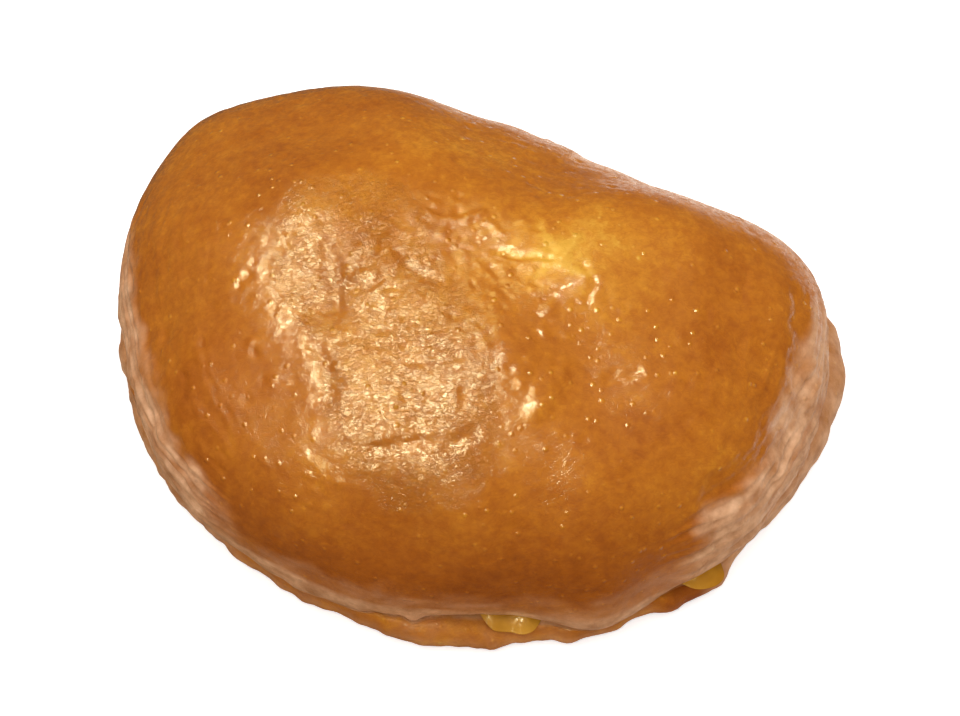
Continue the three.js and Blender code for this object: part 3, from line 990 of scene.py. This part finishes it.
def crinkled_share(points):
    """How strongly the glaze is crinkled: most on the top towards the front, and a little lower down."""
    patchy = CRINKLED_TOP + CRINKLED_SPOTS * mottle(points, *NOISES["crinkled_spots"])
    away = to_path(points, CRINKLED_PATH) + CRINKLED_RAGGED * mottle(points, *NOISES["crinkled_border"])
    top = smooth((CRINKLED_REACH - away) / CRINKLED_EDGE) * patchy
    low = smooth((CRINKLED_FLANK_BELOW - points[..., 2]) / CRINKLED_FLANK_EDGE)
    return np.clip(CRINKLED_LEAST + top + CRINKLED_FLANK * low, 0, CRINKLED_MOST)


def glazed_share(points):
    """How much glaze there is on the outside: much on the top, in patches, and less in the dull places
    and on the flanks."""
    ragged = GLAZED_RAGGED * mottle(points, *NOISES["glazed_border"])
    low = smooth((FLANK_FROM + ragged - points[..., 2]) / (FLANK_FROM - FLANK_TO))
    glazed = 1 + GLAZED_SPOTS * mottle(points, *NOISES["glazed_spots"])
    further = DULL_RAGGED * mottle(points, *NOISES["dull_border"])
    for place, reach, less in DULL_PLACES:
        away = from_place(points, place) + further
        glazed -= less * smooth(DULL_STEEPNESS * (1 - away / reach))
    return mix(glazed, GLAZED_FLANK, low)


def give_attribute(mesh, name, grid_values, first, last):
    """An attribute of the points of a closed mesh, from its grid's values and its two ends'."""
    values = np.concatenate([[first], grid_values.T.reshape(-1), [last]])
    mesh.attributes.new(name, "FLOAT", "POINT").data.foreach_set("value", values.astype(np.float32))


# ---- The two pieces --------------------------------------------------------------------------------
CUSTARD_BACK = 3  # how many clearances it stays off the pocket's inner end
CUSTARD_CLOSER = 1.6  # the power by which its steps lie closer together towards the nose
LUMPS_UNTIL = 0.9  # the share of its way inwards
LUMPS_LEVEL = 10  # the height that their noise is taken at


def dough_mesh():
    """The dough, with how baked, pale, glazed and crinkled its crust is kept at its points: the baked
    level also holds painted shade, and the paleness on the flanks is partly a painted reflection.
    """
    grid, top = dough_grid()
    mesh = closed_mesh("dough_crust", top, grid, (0, 0, 0))
    r = rim(DIRECTIONS)
    darker_edge = sum_of(DIRECTIONS, [DARKER_EDGE])
    baked = all_levels(grid, r, baked_and_painted_shade(grid), ZONES, darker_edge)
    ends = SLAB_ENDS * smooth(sum_of(DIRECTIONS, PALE_BORDERS) / ENDS_RISE)
    pale = all_levels(grid, r, pale_and_reflection_share(grid, r), PALENESS, ends - DARKER_EDGE_LESS_PALE * darker_edge)
    # the baked level also holds the belt of painted shade low on the front
    give_attribute(mesh, "baked", baked, baked[:, 0].mean(), ZONES["bottom"])
    give_attribute(mesh, "pale", np.clip(pale, 0, 1), 0, PALENESS["bottom"])
    glazed = all_levels(grid, r, glazed_share(grid), GLAZED)
    give_attribute(mesh, "glazed", np.clip(glazed, 0, GLAZED_MOST), 1, GLAZED["bottom"])
    give_attribute(mesh, "crinkled", crinkled_share(grid), 1, 0)
    return mesh


def custard_mesh():
    """The custard: in each direction it runs over its top from the nose inwards and back below, clear
    of the pocket's walls, with its nose and back rounded."""
    reach = POCKET["half"] - CUSTARD_TIP
    bearings = POCKET["at"] + np.linspace(-reach, reach, CUSTARD_SECTORS)
    theta = np.radians(bearings)[:, None]
    r = rim(theta)
    share = np.linspace(0, 1, CUSTARD_STEPS)[None]
    ooze = smooth((r["wide"] - OOZE_FROM) / (OOZE_FULL - OOZE_FROM))
    ragged = ooze * CUSTARD_RAGGED * rim_noise(theta, "custard_nose")
    nose = r["lip"] - CUSTARD_RECESS + CUSTARD_OOZE * ooze + ragged
    back = r["lip"] - r["depth"] + CUSTARD_BACK * CLEARANCE
    radius = mix(nose, back, share**CUSTARD_CLOSER)
    _, roof, floor = pocket_walls(r, np.maximum(0, (r["lip"] - radius) / r["depth"]))
    room = roof - floor - 2 * CLEARANCE
    closing = np.sqrt(np.clip((1 - share) / CUSTARD_END, 0, 1))
    front = 1 - (1 - np.clip((nose - radius) / CUSTARD_NOSE, 0, 1)) ** 2
    uneven = 1 + mottle(around(theta, radius, LUMPS_LEVEL), *NOISES["custard_lumps"])
    lumps = 1 - CUSTARD_LUMPS * uneven * (share < LUMPS_UNTIL)
    thick = np.maximum(THINNEST, room * closing * front * lumps)
    over = around(theta, radius, floor + CLEARANCE + thick)
    under = around(theta, radius, floor + CLEARANCE + 0 * thick)[:, ::-1]
    loops = np.concatenate([over, under], 1)
    first, last = loops[0].mean(0), loops[-1].mean(0)
    return closed_mesh("custard_filling", first, loops.transpose(1, 0, 2), last)


make_piece("dough_crust", dough_mesh(), glazed_crust(), "dough")
make_piece("custard_filling", custard_mesh(), moist_custard(), "custard")


# ---- The studio: metres and degrees ----------------------------------------------------------------
FLOOR_REACH = 3
FLOOR_BELOW = 0.1 * MM
FLOOR_SEEN = (0.95, 0.95, 0.95, 1)  # by the camera
FLOOR_MIRRORED = (0.95, 0.76, 0.64, 1)  # in the glaze, behind the narrow end
FLOOR_DULL = (0.12, 0.09, 0.06, 1)  # in the glaze elsewhere
FLOOR_THROWN = (0.66, 0.53, 0.37, 1)  # in what it throws on the bun
FLOOR_GLOW = 0.55
MIRRORED_GLOW = 0.15
BRIGHT_PLACE = (0.055, 0.065, 0)
BRIGHT_REACH = 0.115
BRIGHT_FULL = 0.6  # the share of its reach within which it is as bright as it gets
WORLD_LIGHT = 0.45
WORLD_MIRRORED = 0.08
LIGHT_POWER = 4  # watts for each square metre and each unit of radiance
SOFT_BOX = dict(place=(0, -0.03, 0.64), size=(0.69, 1.14), radiance=1.45, colour=(1, 0.97, 0.92))
FRONT_PANE = dict(place=(-0.171, -0.36, 0.6), size=(0.63, 0.852), radiance=8.2, colour=(1, 0.88, 0.40))
BACK_PANE = dict(place=(-0.258, 0.267, 0.6), size=(0.456, 0.402), radiance=5.5, colour=(1, 0.80, 0.2))
GLEAM = dict(size=(0.026, 0.74), radiance=46, colour=(1, 0.93, 0.6))
GLEAMS = 5
GLEAM_FROM = (-0.44, -0.18, 0.58)
GLEAM_SPACING = 0.12
CAMERA_BEARING = 22
CAMERA_ELEVATION = 60
CAMERA_DISTANCE = 0.372
CAMERA_AIM = (4.08 * MM, 3.62 * MM, 14 * MM)
CAMERA_LENS = 85
CAMERA_SENSOR = 36
CAMERA_NEAREST = 0.01


def ray_is(material, kind):
    """1 for the rays of a kind and 0 for others, in a material or in the world."""
    return add_node(material, "ShaderNodeLightPath").outputs[f"Is {kind} Ray"]


def mirrored_floor(material):
    """The floor's colour in reflections: dull, so that the flanks stay dark, but pinkish white behind
    the narrow end."""
    inputs = {0: object_place(material), 1: BRIGHT_PLACE}
    away = add_node(material, "ShaderNodeVectorMath", inputs, operation="DISTANCE").outputs["Value"]
    near = map_range(material, away, BRIGHT_REACH * BRIGHT_FULL, BRIGHT_REACH, 1, 0)
    return mix_colours(material, near, FLOOR_DULL, FLOOR_MIRRORED)


def make_floor():
    """A plain pale floor: white to the camera, bright where the crust mirrors it, and a duller beige in
    what it throws on the bun."""
    mesh = bpy.data.meshes.new("floor")
    corners = [(x * FLOOR_REACH, y * FLOOR_REACH, 0) for x, y in ((-1, -1), (1, -1), (1, 1), (-1, 1))]
    mesh.from_pydata(corners, [], [(0, 1, 2, 3)])
    material, shader = new_material("pale floor")
    mirrored = mirrored_floor(material)
    colour = FLOOR_THROWN
    glow = 0.0
    for kind, seen, extra in (("Glossy", mirrored, MIRRORED_GLOW), ("Camera", FLOOR_SEEN, FLOOR_GLOW)):
        ray = ray_is(material, kind)
        colour = mix_colours(material, ray, colour, seen)
        glow = scaled(material, ray, extra, glow)
    link(material, colour, shader, "Base Color")
    link(material, colour, shader, "Emission Color")
    link(material, glow, shader, "Emission Strength")
    shader.inputs["Roughness"].default_value = 0.9
    shader.inputs["Specular IOR Level"].default_value = 0
    mesh.materials.append(material)
    floor = add_object("floor", mesh)
    floor.location.z = -FLOOR_BELOW


def make_light(name, place, size, radiance, colour, diffuse=True, glossy=True):
    """A soft box that hangs level over the bun, as bright as its radiance says."""
    light = bpy.data.lights.new(name, "AREA")
    light.shape = "RECTANGLE"
    light.size, light.size_y = size
    light.energy = radiance * LIGHT_POWER * size[0] * size[1]
    light.color = colour
    lamp = add_object(name, light)
    lamp.location = place
    lamp.visible_diffuse = diffuse
    lamp.visible_glossy = glossy


def make_lights():
    """A soft box that lights the bun, and two panes and a row of gleams that only the glaze shows."""
    make_light("soft box", **SOFT_BOX, glossy=False)
    make_light("front pane", **FRONT_PANE, diffuse=False)
    make_light("back pane", **BACK_PANE, diffuse=False)
    x, y, z = GLEAM_FROM
    for k in range(GLEAMS):
        make_light(f"gleam {k}", (x + GLEAM_SPACING * k, y, z), **GLEAM, diffuse=False)


def make_world():
    """White to the camera, dimmer as a light and darker still in reflections, so that the crust keeps
    its depth."""
    world = bpy.data.worlds.new("studio")
    world.use_nodes = True
    bpy.context.scene.world = world
    strength = 0.0
    for kind, value in (("Diffuse", WORLD_LIGHT), ("Glossy", WORLD_MIRRORED), ("Camera", 1.0)):
        strength = scaled(world, ray_is(world, kind), value, strength)
    background = world.node_tree.nodes["Background"]
    link(world, strength, background, "Strength")
    background.inputs["Color"].default_value = (1, 1, 1, 1)


def make_camera():
    """The photograph's view: from above the seam, turned a little towards the narrow end."""
    data = bpy.data.cameras.new("camera")
    data.lens = CAMERA_LENS
    data.sensor_width = CAMERA_SENSOR
    data.clip_start = CAMERA_NEAREST
    camera = add_object("camera", data)
    a, e = math.radians(CAMERA_BEARING), math.radians(CAMERA_ELEVATION)
    back = Vector((math.sin(a) * math.cos(e), -math.cos(a) * math.cos(e), math.sin(e)))
    camera.location = Vector(CAMERA_AIM) + back * CAMERA_DISTANCE
    camera.rotation_euler = back.to_track_quat("Z", "Y").to_euler()
    bpy.context.scene.camera = camera


make_floor()
make_world()
make_lights()
make_camera()
bpy.context.scene.view_settings.view_transform = "Standard"
